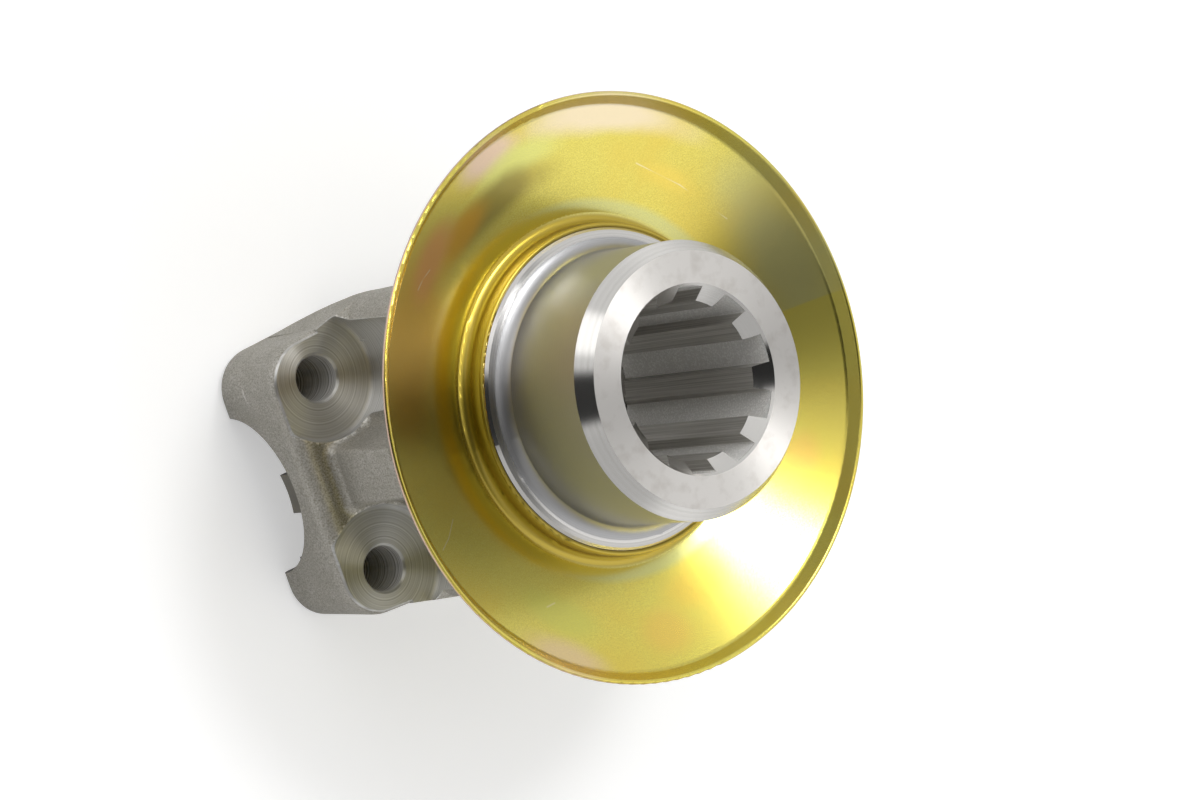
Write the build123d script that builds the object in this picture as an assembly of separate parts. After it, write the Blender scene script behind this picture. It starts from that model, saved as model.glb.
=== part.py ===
"""Forged end yoke with a pressed-on dust shield, in millimetres.

The origin is where the hub axis (Z) crosses the trunnion axis (X). The two ears
point down and stand on their tips at z = 0; the splined hub points up.
"""
from build123d import *
import os
from math import radians, tan

# Turned hub, from the stop of the shield's seat up to the nose
shield_stop_z = 48.0
shield_seat_length = 5.7
journal_length = 22.3
shoulder_z = shield_stop_z + shield_seat_length
nose_z = shoulder_z + journal_length
journal_r = 47.625 / 2
journal_fillet = 3.0
shoulder_width = 4.3
shoulder_chamfer = 0.5
shield_seat_r = journal_r + shoulder_width
stop_height = 1.2
neck_r = shield_seat_r + stop_height
neck_fillet = 1.0
nose_chamfer_height = 2.8
nose_chamfer_width = 2.0

# Straight-sided spline: grooves broached through the bore
spline_count = 10
spline_minor_r = 27.3 / 2
spline_groove_depth = 2.225
spline_major_r = spline_minor_r + spline_groove_depth
spline_groove_width = 4.95
mouth_rim_width = 0.4
mouth_chamfer_r = spline_major_r + mouth_rim_width
mouth_chamfer_angle = 45.0
bore_edge_chamfer = 1.0

# Half-round saddles for the bearing caps, and the lugs that trap the caps
cap_span = 81.8
saddle_r = 13.5
saddle_relief_depth = 1.3
saddle_relief_r = saddle_r + saddle_relief_depth
lug_half_width = 3.6
lug_step = 1.3
lug_r = saddle_r - lug_step

# Clamp bolt holes, in from the lugs and just outside the saddles
bolt_hole_r = 4.1
bolt_hole_chamfer = 0.4
bolt_inset = 4.2
bolt_web = 0.3
bolt_x = cap_span / 2 - bolt_inset
bolt_y = saddle_r + bolt_web + bolt_hole_r

# Ears at their top face, with an end wall past the caps and a side wall past the bolts' axes
ear_top_z = 20.7
ear_end_wall = 4.9
ear_side_wall = 7.8
ear_half_length = cap_span / 2 + ear_end_wall
ear_half_width = bolt_y + ear_side_wall
ear_narrowing_angle = 4.0
ear_corner_r = 8.0
ear_draft = 1.0
ear_rim_fillet = 3.0
tip_fillet = 1.5

# Seats cut into the ears' top face for the clamp nuts
nut_seat_depth = 1.0
nut_seat_face_z = ear_top_z - nut_seat_depth
nut_cutter_r = 11.3
nut_cutter_edge_r = 0.8

# Stiffening rib up the outside of each arm, wider where it leaves the body
rib_setback = 5.8
rib_height = 10.0
rib_face_x = ear_half_length - rib_setback
rib_half_width = 5.3
rib_root_half_width = 7.0
rib_edge_fillet = 1.5
rib_root_fillet = 3.0

# Forged body between the neck and the ears, measured at its foot
body_overhang = 2.9
body_half_length = rib_face_x - rib_height
body_half_width = ear_half_width + body_overhang
body_corner_r = 8.0
body_draft = 3.0
body_foot_fillet = 2.0

# Flares that lead the body's sides out onto the ears, rounded towards the tips
flare_inset = 7.0
flare_length = 10.5
flare_drop = 2.8
flare_corner_r = 12.0
flare_side_r = 56.0
flare_top_height = 1.5
flare_top_angle = 45.0

# Shoulders that sweep from the neck down to the ribs
neck_height = 2.0
shoulder_slope_drop = 13.0
shoulder_slope_clearance = 2.0
shoulder_slope_r = 24.0
shoulder_slope_top_z = shield_stop_z - neck_height
shoulder_slope_foot_z = shoulder_slope_top_z - shoulder_slope_drop
shoulder_slope_foot_r = rib_face_x + shoulder_slope_clearance

# Throat between the ears, and the turned seat for the shaft nut in its roof
throat_half_width = 20.5
throat_tip_half_width = 22.5
throat_roof_z = 31.0
throat_corner_r = 13.0
throat_flare_width = 2.7
throat_flare_y = body_half_width - throat_flare_width
throat_flare_angle = 45.0
shaft_nut_seat_r = 19.5
shaft_nut_seat_depth = 2.0
shaft_nut_seat_z = throat_roof_z + shaft_nut_seat_depth

# Dust shield, pressed over the seat until its trough is near the stop
shield_thickness = 0.9
sleeve_recess = 0.8
trough_flat = 0.07
trough_bend_r = 2.0
dish_angle = 21.6
rim_r = 51.2
lip_height = 2.15
lip_angle = 58.0
crease_bend_r = 1.6

# How far a cutting solid runs past the faces that it cuts
overshoot = 5.0

# How near a plane an edge must lie to count as on it
on_plane = 0.01


def nearest_vertex(section, point):
    """The corner of a flat section that lies at the given point."""
    return section.vertices().sort_by_distance(Vector(point[0], point[1], 0))[0]


def body_outline():
    """The body seen along the hub axis: a rounded block with a rib on each long end."""
    rib_corners = [
        (-body_half_length, -rib_root_half_width),
        (body_half_length, -rib_root_half_width),
        (rib_face_x, -rib_half_width),
        (rib_face_x, rib_half_width),
        (body_half_length, rib_root_half_width),
        (-body_half_length, rib_root_half_width),
        (-rib_face_x, rib_half_width),
        (-rib_face_x, -rib_half_width),
    ]
    block = RectangleRounded(2 * body_half_length, 2 * body_half_width, body_corner_r)
    outline = block + Polygon(*rib_corners, align=None)
    for corner_x, corner_y, radius in (
        (rib_face_x, rib_half_width, rib_edge_fillet),
        (body_half_length, rib_root_half_width, rib_root_fillet),
    ):
        for side_x in (-1, 1):
            for side_y in (-1, 1):
                corner = nearest_vertex(outline, (side_x * corner_x, side_y * corner_y))
                outline = fillet(corner, radius)
    return outline


def forged_body():
    """The drafted body and its ribs, with shoulders that sweep up into the round neck."""
    foot = Pos(0, 0, ear_top_z)
    body = extrude(foot * body_outline(), shoulder_slope_top_z - ear_top_z, taper=body_draft)
    top = (neck_r, shoulder_slope_top_z)
    rim = (shoulder_slope_foot_r, shoulder_slope_foot_z)
    slope = RadiusArc(top, rim, shoulder_slope_r)
    rest = Polyline(rim, (shoulder_slope_foot_r, 0), (0, 0), (0, shoulder_slope_top_z), top)
    envelope = revolve(Plane.XZ * make_face([slope, rest]), Axis.Z)
    return body & envelope


def ear_outline():
    """Both ears seen along the hub axis, a little narrower towards their ends."""
    slope = tan(radians(ear_narrowing_angle))
    end_half_width = ear_half_width - (ear_half_length - bolt_x) * slope
    middle_half_width = ear_half_width + bolt_x * slope
    outline = Polygon(
        (ear_half_length, -end_half_width),
        (ear_half_length, end_half_width),
        (0, middle_half_width),
        (-ear_half_length, end_half_width),
        (-ear_half_length, -end_half_width),
        (0, -middle_half_width),
        align=None,
    )
    ends = outline.vertices().filter_by(lambda vertex: abs(vertex.X) > bolt_x)
    return fillet(ends, ear_corner_r)


def forged_ears():
    """Both ears as one drafted slab, rounded at its rim and at the tips."""
    slab = extrude(Pos(0, 0, ear_top_z) * ear_outline(), -ear_top_z, taper=ear_draft)
    slab = fillet(slab.faces().sort_by(Axis.Z)[-1].edges(), ear_rim_fillet)
    return fillet(slab.faces().sort_by(Axis.Z)[0].edges(), tip_fillet)


def side_flares():
    """The flares on both sides of the body, curved in towards the tips."""
    inner_x = body_half_length - flare_inset
    outer_x = inner_x + flare_length
    outer_y = body_half_width - flare_drop
    outline = Polygon(
        (inner_x, -body_half_width),
        (outer_x, -outer_y),
        (outer_x, outer_y),
        (inner_x, body_half_width),
        (-inner_x, body_half_width),
        (-outer_x, outer_y),
        (-outer_x, -outer_y),
        (-inner_x, -body_half_width),
        align=None,
    )
    inner_corners = outline.vertices().filter_by(lambda vertex: abs(vertex.X) < outer_x - on_plane)
    outline = Pos(0, 0, ear_top_z) * fillet(inner_corners, flare_corner_r)
    flares = extrude(outline, tip_fillet - ear_top_z)
    flares = flares + extrude(outline, flare_top_height, taper=flare_top_angle)
    for side_y in (-1, 1):
        curve_y = side_y * (body_half_width - flare_side_r)
        flares = flares & Pos(0, curve_y, ear_top_z) * Rot(0, 90, 0) * Cylinder(flare_side_r, 2 * outer_x)
    return flares - Box(2 * outer_x, 2 * bolt_y, 2 * nose_z)


def filleted_rib_feet(body):
    """The middle strip of the body with a fillet where its ribs stand on the ears.

    The strip ends inside the nut seats, which are milled away later.
    """
    strip_half_width = bolt_y - nut_cutter_r / 2
    flat_half_length = ear_half_length - ear_rim_fillet
    strip = body & Box(2 * rib_face_x, 2 * strip_half_width, 2 * nose_z)
    shelf = Box(
        2 * flat_half_length,
        2 * strip_half_width,
        ear_rim_fillet,
        align=(Align.CENTER, Align.CENTER, Align.MAX),
    )
    strip = strip + Pos(0, 0, ear_top_z) * shelf
    on_top = strip.edges().filter_by_position(Axis.Z, ear_top_z - on_plane, ear_top_z + on_plane)
    inside = on_top.filter_by(lambda edge: abs(edge.center().Y) < strip_half_width - on_plane)
    foot = inside.filter_by(lambda edge: abs(edge.center().X) < rib_face_x)
    return fillet(foot, body_foot_fillet)


def forged_blank():
    """Body and ears as one forging."""
    body = forged_body()
    return body + forged_ears() + side_flares() + filleted_rib_feet(body)


def throat():
    """The gap between the ears, open at both sides, with rounded upper corners."""
    section = Polygon(
        (-throat_tip_half_width, 0),
        (-throat_half_width, throat_roof_z),
        (throat_half_width, throat_roof_z),
        (throat_tip_half_width, 0),
        align=None,
    )
    section = fillet(section.vertices().group_by(Axis.Y)[-1], throat_corner_r)
    below = Rectangle(2 * throat_tip_half_width, overshoot, align=(Align.CENTER, Align.MAX))
    section = section + below
    gap = extrude(Plane.XZ * section, body_half_width + overshoot, both=True)
    flare = extrude(Plane.XZ.offset(throat_flare_y) * section, overshoot, taper=-throat_flare_angle)
    return gap + flare + mirror(flare, Plane.XZ)


def spline_bore():
    """The broached bore: a round hole with parallel-sided grooves and a coned mouth."""
    length = nose_z - shaft_nut_seat_z + 2 * overshoot
    base = Pos(0, 0, shaft_nut_seat_z - overshoot)
    grooves = [
        Rot(0, 0, 360 / spline_count * step)
        * Rectangle(spline_major_r, spline_groove_width, align=(Align.MIN, Align.CENTER))
        for step in range(spline_count)
    ]
    section = (Sketch() + grooves) & Circle(spline_major_r)
    bore = base * extrude(section + Circle(spline_minor_r), length)
    depth = mouth_chamfer_r / tan(radians(mouth_chamfer_angle))
    mouth = Cone(0, mouth_chamfer_r, depth, align=(Align.CENTER, Align.CENTER, Align.MAX))
    inner_r = spline_major_r + bore_edge_chamfer
    inner = Cone(inner_r, 0, inner_r, align=(Align.CENTER, Align.CENTER, Align.MIN))
    return bore + Pos(0, 0, nose_z) * mouth + Pos(0, 0, shaft_nut_seat_z) * inner


def saddle():
    """Both half-round saddles: cap bores inside, wider relief outside round the lugs."""
    cap_bore = Rot(0, 90, 0) * Cylinder(saddle_r, cap_span)
    relief = Rot(0, 90, 0) * Cylinder(saddle_relief_r, 2 * (ear_half_length + overshoot))
    middle = Box(cap_span, 2 * saddle_relief_r, 2 * saddle_relief_r)
    lugs = Box(2 * (ear_half_length + overshoot), 2 * lug_half_width, 2 * saddle_relief_r)
    lug_tops = Rot(0, 90, 0) * Cylinder(lug_r, 2 * (ear_half_length + overshoot))
    return cap_bore + (relief - middle - (lugs - lug_tops))


def nut_cutter():
    """The end mill that faces one nut seat, with its small corner radius."""
    height = shoulder_slope_top_z + overshoot - nut_seat_face_z
    tool = Cylinder(nut_cutter_r, height, align=(Align.CENTER, Align.CENTER, Align.MIN))
    tool = fillet(tool.faces().sort_by(Axis.Z)[0].edges(), nut_cutter_edge_r)
    return Pos(0, 0, nut_seat_face_z) * tool


def bolt_hole():
    """One clamp bolt hole with a small countersink at the nut seat."""
    drill = Cylinder(bolt_hole_r, 2 * ear_top_z)
    wide_r = bolt_hole_r + bolt_hole_chamfer
    sink = Cone(0, wide_r, wide_r, align=(Align.CENTER, Align.CENTER, Align.MAX))
    return drill + Pos(0, 0, nut_seat_face_z) * sink


def turned_hub():
    """The lathe-turned journal, shoulder and shield seat above the forged neck."""
    journal = Polyline(
        (0, throat_roof_z),
        (neck_r, throat_roof_z),
        (neck_r, shield_stop_z),
        (shield_seat_r, shield_stop_z),
        (shield_seat_r, shoulder_z),
        (journal_r, shoulder_z),
        (journal_r, nose_z - nose_chamfer_height),
        (journal_r - nose_chamfer_width, nose_z),
        (0, nose_z),
        (0, throat_roof_z),
    )
    section = make_face(journal)
    journal_root = nearest_vertex(section, (journal_r, shoulder_z))
    section = fillet(journal_root, journal_fillet)
    shoulder_edge = nearest_vertex(section, (shield_seat_r, shoulder_z))
    section = chamfer(shoulder_edge, shoulder_chamfer)
    neck_edge = nearest_vertex(section, (neck_r, shield_stop_z))
    section = fillet(neck_edge, neck_fillet)
    return revolve(Plane.XZ * section, Axis.Z)


def forged_yoke():
    """The forging as struck, then turned, broached, milled and drilled."""
    blank = forged_blank() + turned_hub()
    blank = blank - throat()
    blank = blank - Pos(0, 0, throat_roof_z) * Cylinder(
        shaft_nut_seat_r, shaft_nut_seat_z - throat_roof_z, align=(Align.CENTER, Align.CENTER, Align.MIN)
    )
    blank = blank - spline_bore() - saddle()
    for side_x in (-1, 1):
        for side_y in (-1, 1):
            place = Pos(side_x * bolt_x, side_y * bolt_y, 0)
            blank = blank - place * nut_cutter() - place * bolt_hole()
    return blank


def dust_shield():
    """The pressed sheet: sleeve, rounded trough, shallow dish and turned-up rim."""
    inset = shield_thickness / 2
    sleeve_r = shield_seat_r + inset
    trough_z = shield_stop_z + inset
    dish_slope = tan(radians(dish_angle))
    dish_foot_r = sleeve_r + trough_flat + trough_bend_r * (1 + tan(radians(dish_angle / 2)))
    crease_r = rim_r - inset - lip_height / tan(radians(lip_angle))
    crease_z = trough_z + (crease_r - dish_foot_r) * dish_slope
    centre_line = FilletPolyline(
        (sleeve_r, shoulder_z - sleeve_recess),
        (sleeve_r, trough_z),
        (dish_foot_r, trough_z),
        (crease_r, crease_z),
        (rim_r - inset, crease_z + lip_height),
        radius=[trough_bend_r, trough_bend_r, crease_bend_r],
    )
    section = make_face(offset(centre_line, inset, side=Side.BOTH, closed=True))
    return revolve(Plane.XZ * section, Axis.Z)


os.makedirs("parts", exist_ok=True)
export_step(forged_yoke(), "parts/forged_yoke.step")
export_step(dust_shield(), "parts/dust_shield.step")
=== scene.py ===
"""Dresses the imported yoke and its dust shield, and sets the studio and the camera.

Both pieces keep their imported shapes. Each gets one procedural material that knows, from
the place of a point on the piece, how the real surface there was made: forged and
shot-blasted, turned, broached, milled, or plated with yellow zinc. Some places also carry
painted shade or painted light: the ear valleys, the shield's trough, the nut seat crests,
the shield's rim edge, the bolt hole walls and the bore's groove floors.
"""
import logging
from dataclasses import dataclass, field
from enum import Enum
from math import cos, pi, radians, sin

import bpy
from mathutils import Matrix, Vector

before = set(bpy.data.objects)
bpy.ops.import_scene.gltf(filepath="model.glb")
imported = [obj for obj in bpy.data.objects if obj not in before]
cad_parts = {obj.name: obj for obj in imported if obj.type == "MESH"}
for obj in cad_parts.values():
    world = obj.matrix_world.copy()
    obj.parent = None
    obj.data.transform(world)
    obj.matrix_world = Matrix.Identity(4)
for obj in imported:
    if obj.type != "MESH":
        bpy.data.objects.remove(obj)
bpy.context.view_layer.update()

LOG = logging.getLogger("yoke_scene")
MM_PER_M = 1000.0
# Where a mask starts that takes in the axis itself, and how far one reaches past the last surface
INSIDE_MM = -1.0
PAST_MM = 1.0


class Piece(Enum):
    """The two pieces of the real object, by the names of their nodes."""

    YOKE = "forged_yoke"
    SHIELD = "dust_shield"


def linear(colour: str) -> tuple[float, float, float, float]:
    """Turns an sRGB hex colour into linear red, green, blue and alpha.

    Args:
        colour: Six hex digits after a hash sign.

    Returns:
        The linear colour with an alpha of one.
    """
    parts = [int(colour[i:i + 2], 16) / 255 for i in (1, 3, 5)]
    red, green, blue = (c / 12.92 if c <= 0.04045 else ((c + 0.055) / 1.055) ** 2.4 for c in parts)
    return red, green, blue, 1.0


@dataclass
class Graph:
    """One node tree of a material or of the room."""

    tree: bpy.types.NodeTree

    def add(self, kind: str, inputs: dict | None = None, **settings: object) -> bpy.types.Node:
        """Adds one node with its settings and links.

        Args:
            kind: The node's type without the usual prefix.
            inputs: For each input's name or number, a node, a socket or a plain value.
            settings: The node's own properties.

        Returns:
            The new node. Used as an input itself, it stands for its first output in use.
        """
        node = self.tree.nodes.new("ShaderNode" + kind)
        for name, value in settings.items():
            setattr(node, name, value)
        for name, value in (inputs or {}).items():
            if isinstance(value, bpy.types.Node):
                value = next(socket for socket in value.outputs if socket.enabled)
            if isinstance(value, bpy.types.NodeSocket):
                self.tree.links.new(value, node.inputs[name])
            else:
                node.inputs[name].default_value = value
        return node


@dataclass
class Surface(Graph):
    """A material's node tree, with the place of a surface point in millimetres."""

    place: bpy.types.Node = field(init=False)
    axes: bpy.types.Node = field(init=False)
    radius: bpy.types.NodeSocket = field(init=False)

    def __post_init__(self) -> None:
        """Adds the nodes for the place, its three parts and its distance from the hub axis."""
        where = self.add("TexCoord").outputs["Object"]
        self.place = self.add("VectorMath", {0: where, "Scale": MM_PER_M}, operation="SCALE")
        self.axes = self.add("SeparateXYZ", {0: self.place})
        across = self.add("CombineXYZ", {0: self.x, 1: self.y})
        self.radius = self.add("VectorMath", {0: across}, operation="LENGTH").outputs["Value"]

    @property
    def x(self) -> bpy.types.NodeSocket:
        """Millimetres along the trunnion axis."""
        return self.axes.outputs[0]

    @property
    def y(self) -> bpy.types.NodeSocket:
        """Millimetres across the ears."""
        return self.axes.outputs[1]

    @property
    def z(self) -> bpy.types.NodeSocket:
        """Millimetres along the hub axis."""
        return self.axes.outputs[2]

    def between(self, value: object, low: float, high: float, soft: float = 0.04) -> bpy.types.Node:
        """A mask that is one where a length lies between two others.

        Args:
            value: The node or socket that gives the length, in millimetres.
            low: Where the mask starts.
            high: Where it ends.
            soft: Half the width of its borders.

        Returns:
            The mask, from zero to one.
        """
        rise = self.add("MapRange", {0: value, 1: low - soft, 2: low + soft})
        fall = self.add("MapRange", {0: value, 1: high - soft, 2: high + soft, 3: 1.0, 4: 0.0})
        return self.add("Math", {0: rise, 1: fall}, operation="MULTIPLY")

    def stroke(self, points: tuple[tuple[float, float, float], ...], width: float) -> bpy.types.Node:
        """A mask that is one along a thin line of straight runs.

        Args:
            points: The line's points, in millimetres.
            width: The line's width, in millimetres.

        Returns:
            The mask, from zero to one.
        """
        nearest = None
        for start, end in zip(points, points[1:]):
            run = Vector(end) - Vector(start)
            way = self.add("VectorMath", {0: self.place, 1: start}, operation="SUBTRACT")
            along = self.add("VectorMath", {0: way, 1: run / run.length_squared}, operation="DOT_PRODUCT")
            along = self.add("Math", {0: along.outputs["Value"], 1: 0.0}, operation="ADD", use_clamp=True)
            foot = self.add("VectorMath", {0: run, "Scale": along}, operation="SCALE")
            gap = self.add("VectorMath", {0: way, 1: foot}, operation="DISTANCE").outputs["Value"]
            nearest = gap if nearest is None else self.add("Math", {0: nearest, 1: gap}, operation="MINIMUM")
        return self.add("MapRange", {0: nearest, 1: width * 0.35, 2: width * 0.65, 3: 1.0, 4: 0.0})


@dataclass(frozen=True)
class ForgedSteel:
    """Shot-blasted hot forging: a fine even grit that scatters light, so it looks satin and warm grey.

    Broad swells from the dies and the oxide skin that was blasted away show as faint clouds, and the
    sharpest crests of the grit are polished bright by rubbing.
    """

    light: str = "#c5c2bb"
    dark: str = "#9b978c"
    crest: str = "#dedbd5"
    grit_mm: float = 0.30
    grit_depth_mm: float = 0.028
    swell_mm: float = 5.0
    swell_depth_mm: float = 0.10
    metallic: float = 0.5
    roughness: tuple[float, float] = (0.38, 0.52)

    def shader(self, surface: Surface) -> bpy.types.Node:
        """Builds the finish's shader.

        Args:
            surface: The material's node tree.

        Returns:
            The shader node.
        """
        add = surface.add
        grit = add("TexNoise", {"Vector": surface.place, "Scale": 1 / self.grit_mm, "Detail": 3.0})
        swell = add("TexNoise", {"Vector": surface.place, "Scale": 1 / self.swell_mm, "Detail": 5.0})
        cloud = add("MapRange", {0: swell, 1: 0.30, 2: 0.66, 3: 0.6})
        pits = add("MapRange", {0: grit, 1: 0.34, 2: 0.60})
        shade = add("Math", {0: cloud, 1: pits}, operation="MULTIPLY")
        colour = add("Mix", {0: shade, 6: linear(self.dark), 7: linear(self.light)}, data_type="RGBA")
        crests = add("MapRange", {0: grit, 1: 0.66, 2: 0.74, 4: 0.7})
        colour = add("Mix", {0: crests, 6: colour, 7: linear(self.crest)}, data_type="RGBA")
        rough = add("MapRange", {0: pits, 3: self.roughness[1], 4: self.roughness[0]})
        broad = add("Bump", {"Height": swell, "Strength": 1.0, "Distance": self.swell_depth_mm / MM_PER_M})
        fine = add(
            "Bump",
            {"Height": grit, "Strength": 1.0, "Distance": self.grit_depth_mm / MM_PER_M, "Normal": broad},
        )
        return add(
            "BsdfPrincipled",
            {"Base Color": colour, "Metallic": self.metallic, "Roughness": rough, "Normal": fine},
        )


@dataclass(frozen=True)
class CutSteel:
    """Steel cut by a turning tool or a mill: its fine rings draw each highlight out across them."""

    light: str
    dark: str
    feed_mm: float
    ring_depth_mm: float
    anisotropic: float
    roughness: tuple[float, float]
    metallic: float = 1.0

    def shader(
        self, surface: Surface, along: object, tangent: object, normal: object = None
    ) -> bpy.types.Node:
        """Builds the finish's shader.

        Args:
            surface: The material's node tree.
            along: A length that grows across the tool's rings, in millimetres.
            tangent: The direction that the rings run in.
            normal: The turned form's own normal, in place of the mesh's where given.

        Returns:
            The shader node.
        """
        add = surface.add
        rings = add("TexNoise", {"W": along, "Scale": 1 / self.feed_mm, "Detail": 4.0}, noise_dimensions="1D")
        bands = add("MapRange", {0: rings, 1: 0.3, 2: 0.7})
        colour = add("Mix", {0: bands, 6: linear(self.dark), 7: linear(self.light)}, data_type="RGBA")
        rough = add("MapRange", {0: bands, 3: self.roughness[1], 4: self.roughness[0]})
        relief = {"Height": rings, "Strength": 1.0, "Distance": self.ring_depth_mm / MM_PER_M}
        if normal is not None:
            relief["Normal"] = normal
        bump = add("Bump", relief)
        return add(
            "BsdfPrincipled",
            {
                "Base Color": colour,
                "Metallic": self.metallic,
                "Roughness": rough,
                "Anisotropic": self.anisotropic,
                "Anisotropic Rotation": 0.25,
                "Tangent": tangent,
                "Normal": bump,
            },
        )


class Cut(Enum):
    """The finish of each surface of the yoke that a tool cut."""

    # Fine turning on the chamfer, shoulder and shaft nut seat: bright, with soft bands round the hub
    TURNED = CutSteel("#dbd9d6", "#d2d0cc", 0.25, 0.0002, 0.70, (0.15, 0.18))
    # The journal for the seal, ground: satin grey that mirrors the gold shield as a soft tint
    GROUND = CutSteel("#adaeb1", "#a6a7aa", 0.18, 0.0001, 0.6, (0.34, 0.37), 0.85)
    # The round between journal and shoulder: the same grey, blurred
    ROUNDED = CutSteel("#aeaeaf", "#a7a7a8", 0.18, 0.0001, 0.3, (0.36, 0.38))
    # Nut seats, their walls and the ear tips: coarse rings that show from afar
    MILLED = CutSteel("#dddddb", "#bbbab7", 0.28, 0.006, 0.95, (0.42, 0.50), 0.85)
    # Walls of the bolt holes: spiral drill marks, light against dark, in a near-white tone that is painted
    # light inside the holes
    DRILLED = CutSteel("#efeeec", "#a9a7a2", 0.50, 0.02, 0.8, (0.34, 0.46), 0.2)
    # Saddles for the bearing caps: darker, with wide boring marks
    BORED = CutSteel("#a19e97", "#716e66", 0.7, 0.02, 0.5, (0.28, 0.44))


@dataclass(frozen=True)
class FacedSteel:
    """A face finished fine and then handled: plain matt light grey with faint stains and hair scratches."""

    light: str = "#dedbd7"
    stain: str = "#d2cec9"
    stain_mm: float = 2.5
    hair_mm: float = 0.12
    hair_length_mm: float = 9.0
    anisotropic: float = 0.85
    roughness: float = 0.46

    def shader(self, surface: Surface, tangent: object) -> bpy.types.Node:
        """Builds the finish's shader.

        Args:
            surface: The material's node tree.
            tangent: The direction that the facing tool ran in.

        Returns:
            The shader node.
        """
        add = surface.add
        cloud = add("TexNoise", {"Vector": surface.place, "Scale": 1 / self.stain_mm, "Detail": 4.0})
        stain = add("MapRange", {0: cloud, 1: 0.50, 2: 0.72})
        squeeze = (1 / self.hair_length_mm, 1 / self.hair_mm, 1.0)
        turned = add("VectorRotate", {0: surface.place, "Angle": 0.9}, rotation_type="Z_AXIS")
        hairs = add("VectorMath", {0: turned, 1: squeeze}, operation="MULTIPLY")
        hairs = add("TexNoise", {"Vector": hairs, "Scale": 1.0, "Detail": 1.0})
        hair = add("MapRange", {0: hairs, 1: 0.72, 2: 0.78, 4: 0.35})
        colour = add("Mix", {0: stain, 6: linear(self.light), 7: linear(self.stain)}, data_type="RGBA")
        colour = add("Mix", {0: hair, 6: colour, 7: linear(self.stain)}, data_type="RGBA")
        return add(
            "BsdfPrincipled",
            {
                "Base Color": colour,
                "Metallic": 1.0,
                "Roughness": self.roughness,
                "Anisotropic": self.anisotropic,
                "Anisotropic Rotation": 0.25,
                "Tangent": tangent,
            },
        )


@dataclass(frozen=True)
class BroachedSteel:
    """Steel cut by a broach: straight streaks along the bore, torn and speckled in the groove floors, which
    are lightened to near white as painted light.
    """

    light: str = "#bdbab4"
    dark: str = "#918e88"
    # Near white on the torn groove floors: painted light deep in the bore
    torn_floor_painted_light: str = "#fbfaf7"
    streak_mm: float = 0.22
    streak_length_mm: float = 25.0
    tear_mm: float = 0.34
    metallic: float = 0.35
    roughness: tuple[float, float] = (0.30, 0.50)
    tear_roughness: float = 0.6
    streak_depth_mm: float = 0.006
    tear_depth_mm: float = 0.12

    def shader(self, surface: Surface, floor: object) -> bpy.types.Node:
        """Builds the finish's shader.

        Args:
            surface: The material's node tree.
            floor: A mask that is one on the floors of the grooves.

        Returns:
            The shader node.
        """
        add = surface.add
        squeeze = (1 / self.streak_mm, 1 / self.streak_mm, 1 / self.streak_length_mm)
        stretched = add("VectorMath", {0: surface.place, 1: squeeze}, operation="MULTIPLY")
        streaks = add("TexNoise", {"Vector": stretched, "Scale": 1.0, "Detail": 3.0})
        tears = add("TexNoise", {"Vector": surface.place, "Scale": 1 / self.tear_mm, "Detail": 2.0})
        torn = add("MapRange", {0: tears, 1: 0.50, 2: 0.62})
        torn = add("Math", {0: torn, 1: floor}, operation="MULTIPLY")
        shade = add("MapRange", {0: streaks, 1: 0.3, 2: 0.7})
        colour = add("Mix", {0: shade, 6: linear(self.dark), 7: linear(self.light)}, data_type="RGBA")
        # The groove floors' speckles lighten towards near white: painted light
        bright = add("MapRange", {0: torn, 3: 0.70, 4: 1.0})
        bright = add("Math", {0: bright, 1: floor}, operation="MULTIPLY")
        colour = add("Mix", {0: bright, 6: colour, 7: linear(self.torn_floor_painted_light)}, data_type="RGBA")
        rough = add("MapRange", {0: shade, 3: self.roughness[1], 4: self.roughness[0]})
        bump = add("Bump", {"Height": streaks, "Strength": 1.0, "Distance": self.streak_depth_mm / MM_PER_M})
        cut = add(
            "BsdfPrincipled",
            {"Base Color": colour, "Metallic": self.metallic, "Roughness": rough, "Normal": bump},
        )
        rags = add("Bump", {"Height": tears, "Strength": 1.0, "Distance": self.tear_depth_mm / MM_PER_M})
        ragged = add(
            "BsdfPrincipled",
            {"Base Color": colour, "Metallic": 0.0, "Roughness": self.tear_roughness, "Normal": rags},
        )
        return add("MixShader", {0: floor, 1: cut, 2: ragged})


@dataclass(frozen=True)
class FilmPatch:
    """A place where the chromate film is thicker or thinner and so shows another colour.

    The place is in millimetres from the hub axis and degrees round it.
    """

    radius: float
    angle: float
    reach_radius: float
    reach_angle: float
    colour: str
    share: float


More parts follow.
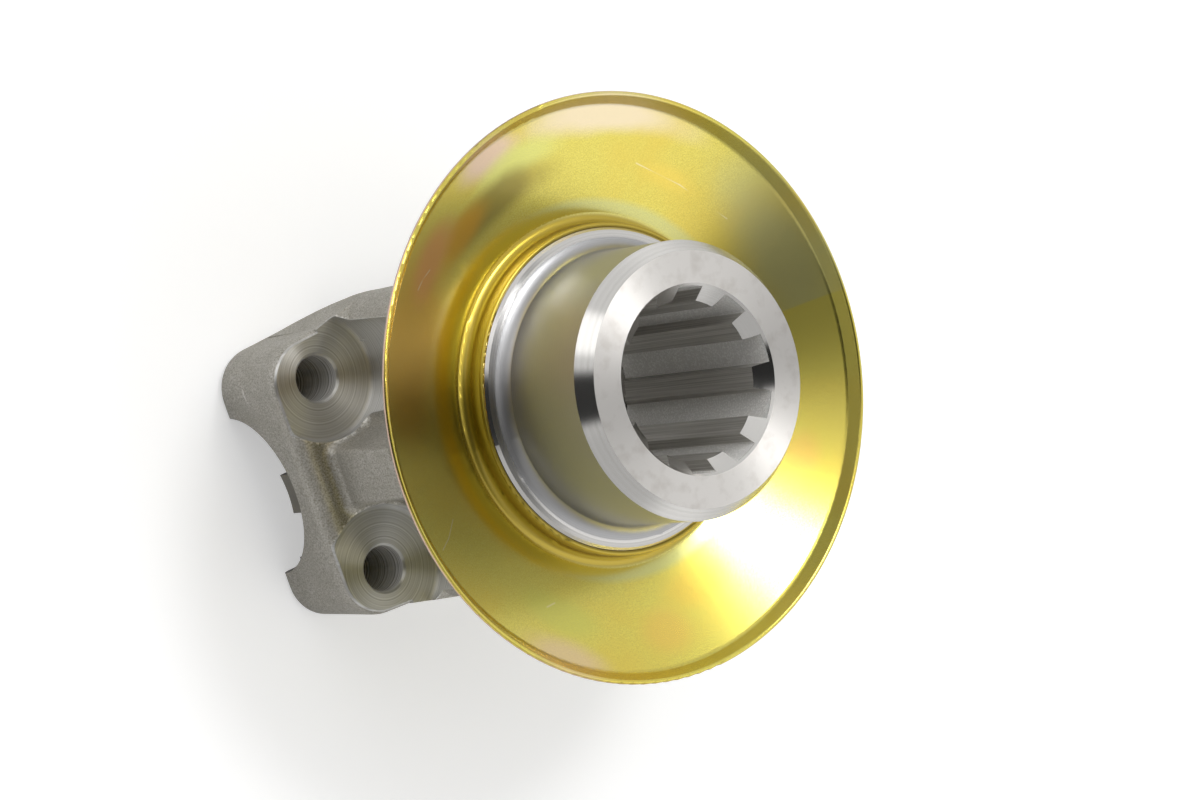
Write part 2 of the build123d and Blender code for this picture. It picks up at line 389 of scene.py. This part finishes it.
@dataclass(frozen=True)
class YellowZinc:
    """Zinc plate with a yellow chromate film on pressed sheet: satin gold with iridescent clouds.

    The film's thickness varies, which turns patches of the gold towards pink, green or orange.
    The film is clear, so a bright light reflected in it stays nearly white.
    """

    gold: str = "#e6d968"
    olive: str = "#d4c556"
    drift: str = "#e3c650"
    scratch: str = "#efe3b4"
    speckle_mm: float = 0.22
    cloud_mm: float = 20.0
    scratch_mm: float = 0.24
    # The sheet's real cut edge, in a pale pinkish cream that is a painted reflection
    cut_edge_and_reflection: str = "#e2c3ae"
    roughness: tuple[float, float] = (0.21, 0.27)
    patches: tuple[FilmPatch, ...] = (
        FilmPatch(44.0, -30.0, 9.0, 26.0, "#d9a53a", 0.75),
        FilmPatch(47.8, -108.0, 3.4, 24.0, "#f0debd", 0.9),
        FilmPatch(47.5, -75.0, 3.2, 10.0, "#e8cab6", 0.85),
        FilmPatch(43.8, -82.0, 3.0, 13.0, "#e0e282", 0.75),
        FilmPatch(40.0, -72.0, 3.4, 20.0, "#9c8c3c", 0.85),
        FilmPatch(40.8, -60.0, 3.0, 11.0, "#e0a92c", 0.85),
        FilmPatch(44.0, -50.0, 3.4, 11.0, "#e8a860", 0.85),
        FilmPatch(39.5, -130.0, 2.4, 10.0, "#f0d25a", 0.6),
        FilmPatch(48.6, 52.0, 3.4, 12.0, "#e6c8a2", 0.7),
        FilmPatch(41.0, 50.0, 3.4, 12.0, "#d3d062", 0.7),
        FilmPatch(43.0, 80.0, 4.4, 8.0, "#e9c55c", 0.7),
        FilmPatch(38.0, 95.0, 4.0, 12.0, "#e8c450", 0.6),
        FilmPatch(42.0, 143.0, 4.0, 7.0, "#eaba62", 0.5),
        FilmPatch(44.0, -166.0, 9.0, 26.0, "#c9c587", 0.8),
    )
    scratches: tuple[tuple[tuple[float, float, float], ...], ...] = (
        ((33.1, -29.6, 54.3), (31.4, -31.0, 54.0), (29.3, -31.9, 53.8)),
        ((46.0, 11.7, 55.5), (43.6, 10.6, 54.4), (40.8, 8.3, 53.1)),
        ((-19.5, -35.0, 52.5), (-27.3, -28.4, 52.3), (-34.8, -19.5, 52.5)),
        ((28.6, 29.1, 52.8), (26.5, 29.2, 52.3)),
    )
    scratch_share: float = 0.6
    bend_share: float = 0.65
    coat_weight: float = 0.6
    coat_roughness: float = 0.12
    grain_depth_mm: float = 0.003
    bend: str = "#cdd08f"
    # Darker gold in the trough round the sleeve: painted shade
    trough: str = "#b9a23a"
    trough_roughness: float = 0.30

    def shader(self, surface: Surface, in_trough: object, on_bend: object, on_edge: object) -> bpy.types.Node:
        """Builds the finish's shader.

        Args:
            surface: The material's node tree.
            in_trough: A mask that is one in the trough round the sleeve, where the gold is darkened as
                painted shade.
            on_bend: A mask that is one where the trough bends out into the dish.
            on_edge: A mask that is one on the sheet's cut edge, which is given a pale painted reflection.

        Returns:
            The shader node.
        """
        add = surface.add
        speckle = add("TexNoise", {"Vector": surface.place, "Scale": 1 / self.speckle_mm, "Detail": 3.0})
        shade = add("MapRange", {0: speckle, 1: 0.35, 2: 0.65})
        colour = add("Mix", {0: shade, 6: linear(self.olive), 7: linear(self.gold)}, data_type="RGBA")
        cloud = add(
            "TexNoise",
            {"Vector": surface.place, "Scale": 1 / self.cloud_mm, "Detail": 4.0, "Distortion": 0.5},
        )
        warm = add("MapRange", {0: cloud, 1: 0.45, 2: 0.65, 4: 0.5})
        colour = add("Mix", {0: warm, 6: colour, 7: linear(self.drift)}, data_type="RGBA")

        turn = add("Math", {0: surface.y, 1: surface.x}, operation="ARCTAN2")
        turn = add("Math", {0: turn}, operation="DEGREES")
        polar = add("CombineXYZ", {0: surface.radius, 1: turn})
        wobble = add("MapRange", {0: cloud, 3: -0.45, 4: 0.45})
        for patch in self.patches:
            away = add("VectorMath", {0: polar, 1: (patch.radius, patch.angle, 0.0)}, operation="SUBTRACT")
            squeeze = (1 / patch.reach_radius, 1 / patch.reach_angle, 0.0)
            away = add("VectorMath", {0: away, 1: squeeze}, operation="MULTIPLY")
            away = add("VectorMath", {0: away}, operation="LENGTH").outputs["Value"]
            away = add("Math", {0: away, 1: wobble}, operation="ADD")
            mask = add(
                "MapRange",
                {0: away, 1: 0.35, 2: 1.25, 3: patch.share, 4: 0.0},
                interpolation_type="SMOOTHSTEP",
            )
            colour = add("Mix", {0: mask, 6: colour, 7: linear(patch.colour)}, data_type="RGBA")
        # Painted shade: the trough round the sleeve turns darker gold
        colour = add("Mix", {0: in_trough, 6: colour, 7: linear(self.trough)}, data_type="RGBA")
        on_bend = add("Math", {0: on_bend, 1: self.bend_share}, operation="MULTIPLY")
        colour = add("Mix", {0: on_bend, 6: colour, 7: linear(self.bend)}, data_type="RGBA")
        # The cut edge's pale tone is a painted reflection
        colour = add("Mix", {0: on_edge, 6: colour, 7: linear(self.cut_edge_and_reflection)}, data_type="RGBA")
        for points in self.scratches:
            mark = surface.stroke(points, self.scratch_mm)
            mark = add("Math", {0: mark, 1: self.scratch_share}, operation="MULTIPLY")
            colour = add("Mix", {0: mark, 6: colour, 7: linear(self.scratch)}, data_type="RGBA")

        rough = add("MapRange", {0: speckle, 1: 0.35, 2: 0.65, 3: self.roughness[1], 4: self.roughness[0]})
        rough = add("Mix", {0: in_trough, 2: rough, 3: self.trough_roughness}, data_type="FLOAT")
        bump = add("Bump", {"Height": speckle, "Strength": 1.0, "Distance": self.grain_depth_mm / MM_PER_M})
        return add(
            "BsdfPrincipled",
            {
                "Base Color": colour,
                "Metallic": 1.0,
                "Roughness": rough,
                "Coat Weight": self.coat_weight,
                "Coat Roughness": self.coat_roughness,
                "Normal": bump,
            },
        )


@dataclass
class Yoke:
    """The forging with its turned hub, broached bore, milled seats and saddles, sizes in millimetres."""

    nose_z: float = 76.0
    shield_stop_z: float = 48.0
    mouth_chamfer_r: float = 16.275
    spline_major_r: float = 15.875
    shaft_nut_seat_r: float = 19.5
    shaft_nut_seat_z: float = 33.0
    throat_roof_z: float = 31.0
    bolt_x: float = 36.7
    bolt_y: float = 17.9
    bolt_hole_r: float = 4.1
    nut_cutter_r: float = 11.3
    nut_seat_face_z: float = 19.7
    saddle_relief_r: float = 14.8
    nose_face_r: float = 21.8125
    chamfer_width: float = 2.0
    chamfer_height: float = 2.8
    hub_reach_r: float = 29.5
    shoulder_z: float = 53.7
    foot_reach: float = 1.6
    journal_foot_z: float = 55.2
    # Where painted shade darkens the valleys between the ears' rims and ribs, and how strongly
    valley_x: tuple[float, float] = (40.6, 42.9)
    valley_soft_mm: float = 0.7
    valley_wander_mm: float = 2.5
    valley_shade_share: float = 0.75
    crest_rag_mm: float = 0.7
    flash_mm: float = 0.45
    flash_share: float = 0.7
    flash_line: tuple[tuple[float, float, float], ...] = (
        (44.6, -25.8, 17.9),
        (45.0, -24.0, 13.7),
        (45.3, -22.2, 10.2),
        (45.5, -20.2, 8.4),
        (45.4, -17.4, 9.3),
        (45.3, -15.2, 10.8),
    )
    journal_head_z: float = 73.2
    tip_skin: float = 0.03

    def bolt_place(self, surface: Surface) -> tuple[bpy.types.Node, bpy.types.NodeSocket]:
        """The way from the nearest bolt axis to a point.

        Args:
            surface: The material's node tree.

        Returns:
            The direction across the bolt axis, and the distance from it in millimetres.
        """
        parts = []
        for value, offset in ((surface.x, self.bolt_x), (surface.y, self.bolt_y)):
            side = surface.add("Math", {0: value}, operation="SIGN")
            centre = surface.add("Math", {0: side, 1: offset}, operation="MULTIPLY")
            parts.append(surface.add("Math", {0: value, 1: centre}, operation="SUBTRACT"))
        across = surface.add("CombineXYZ", {0: parts[0], 1: parts[1]})
        return across, surface.add("VectorMath", {0: across}, operation="LENGTH").outputs["Value"]

    def paint_valley_shade(self, surface: Surface, finish: bpy.types.Node) -> bpy.types.Node:
        """Lays over a finish painted shade: a darker copy of the forging in the valley between each ear's rim
        and its rib.

        Args:
            surface: The material's node tree.
            finish: The shader of what lies underneath.

        Returns:
            The shader with this layer on it.
        """
        add = surface.add
        side = add("Math", {0: surface.x}, operation="ABSOLUTE")
        wander = add("TexNoise", {"Vector": surface.place, "Scale": 1 / self.valley_wander_mm, "Detail": 3.0})
        side = add("Math", {0: side, 1: wander}, operation="ADD")
        low, high = self.valley_x
        in_valley = surface.between(side, low + 0.5, high + 0.5, self.valley_soft_mm)
        on_top = surface.between(surface.z, self.nut_seat_face_z - 0.6, self.shield_stop_z, 0.5)
        mask = add("Math", {0: in_valley, 1: on_top}, operation="MULTIPLY")
        mask = add("Math", {0: mask, 1: self.valley_shade_share}, operation="MULTIPLY")
        # A darker copy of the forged finish, painted as shade in the valleys
        valley_shade = ForgedSteel(light="#8e8a7c", dark="#65614f", crest="#a9a596").shader(surface)
        return add("MixShader", {0: mask, 1: finish, 2: valley_shade})

    def paint_crest_highlight_and_flash(self, surface: Surface, finish: bpy.types.Node) -> bpy.types.Node:
        """Lays over a finish a painted highlight on the ragged crest round each nut seat, and the bright
        flash line on one ear.

        Args:
            surface: The material's node tree.
            finish: The shader of what lies underneath.

        Returns:
            The shader with this layer on it.
        """
        add = surface.add
        distance = self.bolt_place(surface)[1]
        ragged = add("TexNoise", {"Vector": surface.place, "Scale": 1 / self.crest_rag_mm, "Detail": 3.0})
        rim = add("MapRange", {0: ragged, 3: -0.35, 4: 0.35})
        rim = add("Math", {0: distance, 1: rim}, operation="ADD")
        # The crest round each nut seat's cutter: a painted edge highlight
        rim = surface.between(rim, self.nut_cutter_r, self.nut_cutter_r + 0.42, 0.10)
        above = surface.between(surface.z, self.nut_seat_face_z - 0.3, self.nut_seat_face_z + 2.5, 0.1)
        patchy = add("MapRange", {0: ragged, 1: 0.46, 2: 0.56, 4: 0.8})
        rim = add("Math", {0: rim, 1: above}, operation="MULTIPLY")
        rim = add("Math", {0: rim, 1: patchy}, operation="MULTIPLY")
        flash = surface.stroke(self.flash_line, self.flash_mm)
        flash = add("Math", {0: flash, 1: self.flash_share}, operation="MULTIPLY")
        bright = add("Math", {0: rim, 1: flash}, operation="MAXIMUM")
        # A light copy of the forged finish: painted highlight on the seat crests, and the bright flash line
        highlight_and_flash = ForgedSteel(light="#f2f0ec", dark="#d9d7d2", crest="#f8f7f4", metallic=0.85).shader(surface)
        return add("MixShader", {0: bright, 1: finish, 2: highlight_and_flash})

    def mill_seats(self, surface: Surface, finish: bpy.types.Node) -> bpy.types.Node:
        """Lays over a finish the milled nut seats, their walls, the drilled holes and the ear tips.

        Args:
            surface: The material's node tree.
            finish: The shader of what lies underneath.

        Returns:
            The shader with this layer on it.
        """
        add = surface.add
        across, bolt_distance = self.bolt_place(surface)
        round_bolt = add("VectorMath", {0: across, 1: (0.0, 0.0, 1.0)}, operation="CROSS_PRODUCT")
        seat_rings = add("Math", {0: bolt_distance, 1: surface.z}, operation="ADD")
        milled = Cut.MILLED.value.shader(surface, seat_rings, round_bolt)
        in_cutter = surface.between(bolt_distance, INSIDE_MM, self.nut_cutter_r + 0.06)
        above_seat = surface.between(surface.z, self.nut_seat_face_z - 0.4, self.shield_stop_z)
        on_seat = add("Math", {0: in_cutter, 1: above_seat}, operation="MULTIPLY")
        on_tips = surface.between(surface.z, INSIDE_MM, self.tip_skin, 0.01)
        on_seat = add("Math", {0: on_seat, 1: on_tips}, operation="MAXIMUM")
        finish = add("MixShader", {0: on_seat, 1: finish, 2: milled})
        drilled = Cut.DRILLED.value.shader(surface, surface.z, round_bolt)
        in_hole = surface.between(bolt_distance, INSIDE_MM, self.bolt_hole_r + 0.02, 0.02)
        return add("MixShader", {0: in_hole, 1: finish, 2: drilled})

    def bore_saddles(self, surface: Surface, finish: bpy.types.Node) -> bpy.types.Node:
        """Lays over a finish the bored saddles for the bearing caps.

        Args:
            surface: The material's node tree.
            finish: The shader of what lies underneath.

        Returns:
            The shader with this layer on it.
        """
        add = surface.add
        trunnion = add("CombineXYZ", {1: surface.y, 2: surface.z})
        distance = add("VectorMath", {0: trunnion}, operation="LENGTH").outputs["Value"]
        round_trunnion = add("VectorMath", {0: trunnion, 1: (1.0, 0.0, 0.0)}, operation="CROSS_PRODUCT")
        bored = Cut.BORED.value.shader(surface, surface.x, round_trunnion)
        in_saddle = surface.between(distance, INSIDE_MM, self.saddle_relief_r + 0.05)
        return add("MixShader", {0: in_saddle, 1: finish, 2: bored})

    def turn_hub(self, surface: Surface, finish: bpy.types.Node) -> bpy.types.Node:
        """Lays over a finish the turned journal, shoulder, chamfer, shaft nut seat and faced nose.

        Args:
            surface: The material's node tree.
            finish: The shader of what lies underneath.

        Returns:
            The shader with this layer on it.
        """
        add = surface.add
        across = add("CombineXYZ", {0: surface.x, 1: surface.y})
        round_hub = add("VectorMath", {0: across, 1: (0.0, 0.0, 1.0)}, operation="CROSS_PRODUCT")
        hub_rings = add("Math", {0: surface.radius, 1: surface.z}, operation="ADD")
        turned = Cut.TURNED.value.shader(surface, hub_rings, round_hub)
        outward = add("VectorMath", {0: across}, operation="NORMALIZE")
        cone = add("VectorMath", {0: outward, "Scale": self.chamfer_height}, operation="SCALE")
        cone = add("VectorMath", {0: cone, 1: (0.0, 0.0, self.chamfer_width)}, operation="ADD")
        cone = add("VectorMath", {0: cone}, operation="NORMALIZE")
        # The forms' own normals hide the seam that the mesh's normals have at the +X side
        to_world = {"vector_type": "NORMAL", "convert_from": "OBJECT", "convert_to": "WORLD"}
        cone = add("VectorTransform", {0: cone}, **to_world)
        outward = add("VectorTransform", {0: outward}, **to_world)
        ground = Cut.GROUND.value.shader(surface, hub_rings, round_hub, outward)
        coned = Cut.TURNED.value.shader(surface, hub_rings, round_hub, cone)
        on_cone = add(
            "Math",
            {
                0: surface.between(surface.z, self.journal_head_z, self.nose_z + PAST_MM, 0.02),
                1: surface.between(surface.radius, self.nose_face_r - 0.1, self.hub_reach_r, 0.02),
            },
            operation="MULTIPLY",
        )
        on_journal = surface.between(surface.z, self.journal_foot_z, self.journal_head_z, 0.02)
        on_hub = surface.between(surface.z, self.shield_stop_z - 0.05, self.nose_z + PAST_MM)
        on_nut_seat = add(
            "Math",
            {
                0: surface.between(surface.z, self.throat_roof_z + 0.05, self.shaft_nut_seat_z + 0.05),
                1: surface.between(surface.radius, INSIDE_MM, self.shaft_nut_seat_r + 0.05),
            },
            operation="MULTIPLY",
        )
        on_turned = add("Math", {0: on_hub, 1: on_nut_seat}, operation="MAXIMUM")
        finish = add("MixShader", {0: on_turned, 1: finish, 2: turned})
        finish = add("MixShader", {0: on_cone, 1: finish, 2: coned})
        finish = add("MixShader", {0: on_journal, 1: finish, 2: ground})
        foot = Cut.ROUNDED.value.shader(surface, hub_rings, round_hub)
        on_foot = surface.between(surface.z, self.shoulder_z + 0.04, self.shoulder_z + self.foot_reach, 0.03)
        on_foot = add("Math", {0: on_foot, 1: on_hub}, operation="MULTIPLY")
        finish = add("MixShader", {0: on_foot, 1: finish, 2: foot})
        on_nose = add(
            "Math",
            {
                0: surface.between(surface.z, self.nose_z - 0.02, self.nose_z + PAST_MM, 0.01),
                1: surface.between(surface.radius, self.mouth_chamfer_r - 0.03, self.nose_face_r, 0.05),
            },
            operation="MULTIPLY",
        )
        return add("MixShader", {0: on_nose, 1: finish, 2: FacedSteel().shader(surface, round_hub)})

    def broach_bore(self, surface: Surface, finish: bpy.types.Node) -> bpy.types.Node:
        """Lays over a finish the broached bore under its coned mouth.

        Args:
            surface: The material's node tree.
            finish: The shader of what lies underneath.

        Returns:
            The shader with this layer on it.
        """
        add = surface.add
        groove_floor = surface.between(surface.radius, self.spline_major_r - 0.3, self.spline_major_r + 0.3)
        broached = BroachedSteel().shader(surface, groove_floor)
        depth = add("Math", {0: self.nose_z, 1: surface.z}, operation="SUBTRACT")
        under_mouth = add("Math", {0: surface.radius, 1: depth}, operation="ADD")
        in_bore = add(
            "Math",
            {
                0: surface.between(surface.radius, INSIDE_MM, self.spline_major_r + 0.1),
                1: surface.between(under_mouth, self.mouth_chamfer_r + 0.08, self.nose_z),
            },
            operation="MULTIPLY",
        )
        return add("MixShader", {0: in_bore, 1: finish, 2: broached})

    def dress(self) -> bpy.types.Object:
        """Gives the yoke its material.

        Returns:
            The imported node's object.
        """
        material = bpy.data.materials.new("steel_forged_turned_and_milled")
        material.use_nodes = True
        material.node_tree.nodes.clear()
        surface = Surface(material.node_tree)
        finish = ForgedSteel().shader(surface)
        finish = self.paint_valley_shade(surface, finish)
        finish = self.paint_crest_highlight_and_flash(surface, finish)
        finish = self.mill_seats(surface, finish)
        finish = self.bore_saddles(surface, finish)
        finish = self.turn_hub(surface, finish)
        finish = self.broach_bore(surface, finish)
        surface.add("OutputMaterial", {"Surface": finish})

        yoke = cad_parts[Piece.YOKE.value]
        yoke.material_slots[0].material = material
        LOG.info("%s: dressed, forged, turned, broached and milled", yoke.name)
        return yoke


@dataclass
class DustShield:
    """The pressed sheet ring on the hub, sizes in millimetres."""

    dish_foot_r: float = 31.0
    bend_end_r: float = 33.4
    rim_r: float = 51.2
    sheet_edge: float = 0.10

    def dress(self) -> bpy.types.Object:
        """Gives the shield its material.

        Returns:
            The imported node's object.
        """
        material = bpy.data.materials.new("steel_sheet_yellow_zinc")
        material.use_nodes = True
        material.node_tree.nodes.clear()
        surface = Surface(material.node_tree)
        in_trough = surface.between(surface.radius, INSIDE_MM, self.dish_foot_r, 0.3)
        on_bend = surface.between(surface.radius, self.dish_foot_r, self.bend_end_r, 0.6)
        on_edge = surface.between(surface.radius, self.rim_r - self.sheet_edge, self.rim_r + PAST_MM)
        finish = YellowZinc().shader(surface, in_trough, on_bend, on_edge)
        surface.add("OutputMaterial", {"Surface": finish})
        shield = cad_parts[Piece.SHIELD.value]
        shield.material_slots[0].material = material
        LOG.info("%s: dressed in yellow zinc", shield.name)
        return shield


@dataclass(frozen=True)
class Panel:
    """A round bright or dark panel of the room, placed by what the polished surfaces mirror.

    The direction is in the object's axes, the reach and the width of the soft edge are in degrees,
    and a strength of one is white.
    """

    direction: tuple[float, float, float]
    reach: float
    edge: float
    strength: float


@dataclass
class Studio:
    """A pale floor, soft light and the photograph's camera, sizes in metres."""

    floor_radius: float = 2.0
    floor_fade: tuple[float, float] = (0.16, 0.40)
    floor_lift: float = 0.42
    floor_colour: str = "#dedede"
    floor_steps: int = 96
    floor_drop: float = 0.00005
    room_bright: float = 0.80
    panels: tuple[Panel, ...] = (
        Panel((0.58, 0.66, 0.40), 38.0, 12.0, 0.55),
        Panel((-0.34, 0.64, 0.69), 22.0, 8.0, 1.15),
        Panel((0.54, -0.79, 0.25), 14.0, 4.0, 1.6),
        Panel((0.95, -0.19, 0.18), 18.0, 4.0, 0.03),
        Panel((0.79, -0.13, 0.58), 19.0, 4.0, 0.03),
        Panel((0.54, -0.04, 0.84), 19.0, 4.0, 0.02),
        Panel((0.27, 0.10, 0.96), 15.0, 5.0, 0.05),
        Panel((0.07, 0.22, 0.97), 12.0, 7.0, 0.13),
        Panel((0.04, -0.60, 0.80), 12.0, 2.5, 2.3),
        Panel((-0.26, -0.40, 0.88), 6.5, 4.0, 16.0),
    )
    lens_mm: float = 99.0
    sensor_mm: float = 36.0
    camera_place: tuple[float, float, float] = (0.327450, -0.088464, 0.513800)
    camera_right: tuple[float, float, float] = (-0.746365, 0.318256, 0.584510)
    camera_up: tuple[float, float, float] = (-0.348676, -0.935063, 0.063899)

    def light_room(self) -> None:
        """Sets the world: a soft white room with its panels, and plain white where the camera sees it.

        Glossy rays see the room and not the plain white, so the steel and the zinc mirror its panels.
        """
        world = bpy.data.worlds.new("studio_room")
        bpy.context.scene.world = world
        world.use_nodes = True
        world.node_tree.nodes.clear()
        room = Graph(world.node_tree)
        path = room.add("LightPath")
        toward = room.add("TexCoord").outputs["Generated"]
        strength = self.room_bright
        for panel in self.panels:
            direction = Vector(panel.direction).normalized()
            near = room.add("VectorMath", {0: toward, 1: direction}, operation="DOT_PRODUCT").outputs["Value"]
            outer = cos(radians(panel.reach + panel.edge))
            inner = cos(radians(max(panel.reach - panel.edge, 0.0)))
            mask = room.add("MapRange", {0: near, 1: outer, 2: inner}, interpolation_type="SMOOTHSTEP")
            strength = room.add("Mix", {0: mask, 2: strength, 3: panel.strength}, data_type="FLOAT")
        lit = room.add("Background", {"Color": linear("#ffffff"), "Strength": strength})
        white = room.add("Background", {"Color": linear("#ffffff"), "Strength": 1.0})
        seen = room.add("MixShader", {0: path.outputs["Is Camera Ray"], 1: lit, 2: white})
        room.add("OutputWorld", {"Surface": seen})

    def lay_floor(self) -> bpy.types.Object:
        """Lays the floor: white paper that keeps the object's shadow and fades into the background.

        Returns:
            The floor.
        """
        mesh = bpy.data.meshes.new("floor")
        turns = [2 * pi * i / self.floor_steps for i in range(self.floor_steps)]
        ring = [(self.floor_radius * cos(turn), self.floor_radius * sin(turn), 0.0) for turn in turns]
        mesh.from_pydata(ring, [], [list(range(self.floor_steps))])
        floor = bpy.data.objects.new("floor", mesh)
        bpy.context.scene.collection.objects.link(floor)
        floor.location.z = -self.floor_drop
        material = bpy.data.materials.new("paper_matt_white")
        material.use_nodes = True
        material.node_tree.nodes.clear()
        surface = Surface(material.node_tree)
        path = surface.add("LightPath")
        paper = surface.add("BsdfDiffuse", {"Color": linear(self.floor_colour)})
        lift = surface.add("Emission", {"Color": linear("#ffffff"), "Strength": self.floor_lift})
        lit = surface.add("AddShader", {0: paper, 1: lift})
        near = surface.add("MixShader", {0: path.outputs["Is Camera Ray"], 1: paper, 2: lit})
        far = surface.add("Emission", {"Color": linear("#ffffff"), "Strength": 1.0})
        fade = surface.add(
            "MapRange",
            {0: surface.radius, 1: self.floor_fade[0] * MM_PER_M, 2: self.floor_fade[1] * MM_PER_M},
            interpolation_type="SMOOTHSTEP",
        )
        finish = surface.add("MixShader", {0: fade, 1: near, 2: far})
        surface.add("OutputMaterial", {"Surface": finish})
        mesh.materials.append(material)
        return floor

    def set_camera(self) -> None:
        """Sets the camera where the photograph was taken from."""
        data = bpy.data.cameras.new("photo_camera")
        data.lens = self.lens_mm
        data.sensor_width = self.sensor_mm
        data.clip_start = 0.01
        data.clip_end = 20.0
        camera = bpy.data.objects.new("photo_camera", data)
        bpy.context.scene.collection.objects.link(camera)
        right, up = Vector(self.camera_right), Vector(self.camera_up)
        back = right.cross(up)
        turn = Matrix((right, up, back)).transposed().to_4x4()
        camera.matrix_world = Matrix.Translation(self.camera_place) @ turn
        bpy.context.scene.camera = camera

    def build(self) -> None:
        """Builds the light, floor and camera, and sets how colours are shown."""
        self.light_room()
        self.lay_floor()
        self.set_camera()
        bpy.context.scene.view_settings.view_transform = "Standard"
        LOG.info("studio: light, floor and camera set")


def main() -> None:
    """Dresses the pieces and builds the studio."""
    logging.basicConfig(level=logging.INFO, format="%(message)s")
    Yoke().dress()
    DustShield().dress()
    Studio().build()


if __name__ == "__main__":
    main()
